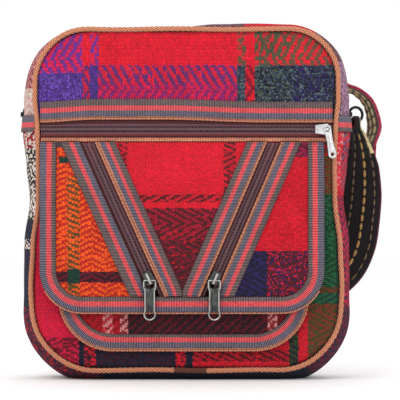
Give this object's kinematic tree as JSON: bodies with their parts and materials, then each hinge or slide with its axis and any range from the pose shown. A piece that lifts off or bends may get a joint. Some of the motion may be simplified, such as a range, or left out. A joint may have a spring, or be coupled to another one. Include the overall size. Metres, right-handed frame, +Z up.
{
  "type": "kilim crossbody bag",
  "caption": "Soft woven crossbody bag with piped edges, a zip across the front, stacked front pockets with slanted zips and a woven strap",
  "frame": {"origin": "the middle of the flat bottom that the bag stands on", "axes": "+Z up along the height, the front faces -Y, +X to the right as seen from the front"},
  "size_m": [0.2976, 0.1383, 0.2857],
  "materials": {
    "kilim_front": "wool plaid in red, purple, green and orange, woven in a herringbone twill",
    "kilim_back": "wool plaid, darker, in the same herringbone twill",
    "kilim_side": "wool plaid in red, navy and maroon",
    "striped_trim": "ribbed ribbon striped gray-blue, pink-red and gray-brown with a tan edge",
    "tan_cord": "corded piping covered in tan cotton",
    "zip_tape": "dark maroon zip tape and nylon coil",
    "strap_webbing": "black woven band with rows of yellow stitches",
    "dark_metal": "antique gunmetal",
    "silver_metal": "bright nickel",
    "black_metal": "glossy black enamel"
  },
  "bodies": {
    "root": {"front_upper_panel": "kilim_front", "front_lower_panel": "kilim_front", "back_panel": "kilim_back", "gusset_top": "kilim_side", "gusset_bottom": "kilim_side", "gusset_trim_left": "striped_trim", "gusset_trim_right": "striped_trim", "piping_front": "tan_cord", "piping_back": "tan_cord", "zip_upper_trim": "striped_trim", "zip_lower_edge": "tan_cord", "zip_tape_upper": "zip_tape", "zip_tape_lower": "zip_tape", "zip_coil": "zip_tape", "main_slider": "silver_metal", "pocket_lower_panel": "kilim_front", "pocket_lower_trim": "striped_trim", "pocket_upper_trim": "striped_trim", "pocket_left_panel": "kilim_front", "pocket_centre_panel": "kilim_front", "pocket_right_panel": "kilim_front", "left_zip_outer_trim": "striped_trim", "left_zip_inner_trim": "striped_trim", "left_zip_tape_outer": "zip_tape", "left_zip_tape_inner": "zip_tape", "left_zip_coil": "zip_tape", "left_slider": "dark_metal", "right_zip_outer_trim": "striped_trim", "right_zip_inner_trim": "striped_trim", "right_zip_tape_outer": "zip_tape", "right_zip_tape_inner": "zip_tape", "right_zip_coil": "zip_tape", "right_slider": "dark_metal", "tab_right": "strap_webbing", "tab_left": "strap_webbing", "ring_right": "black_metal", "ring_left": "black_metal", "strap": "strap_webbing"},
    "main_tab": {"main_pull": "silver_metal"},
    "left_tab": {"left_pull": "dark_metal"},
    "right_tab": {"right_pull": "dark_metal"}
  },
  "joints": [
    {"name": "main_tab_swing", "type": "hinge", "parent": "root", "child": "main_tab", "pos_m": [0.11227, -0.04045, 0.20004], "axis": [0.0623, -0.998, 0.0084], "range_deg": [0, 110]},
    {"name": "left_tab_flip", "type": "hinge", "parent": "root", "child": "left_tab", "pos_m": [-0.029, -0.05474, 0.07994], "axis": [-1, 0, 0], "range_deg": [0, 135]},
    {"name": "right_tab_flip", "type": "hinge", "parent": "root", "child": "right_tab", "pos_m": [0.0221, -0.0548, 0.07992], "axis": [-1, 0, 0], "range_deg": [0, 135]}
  ]
}
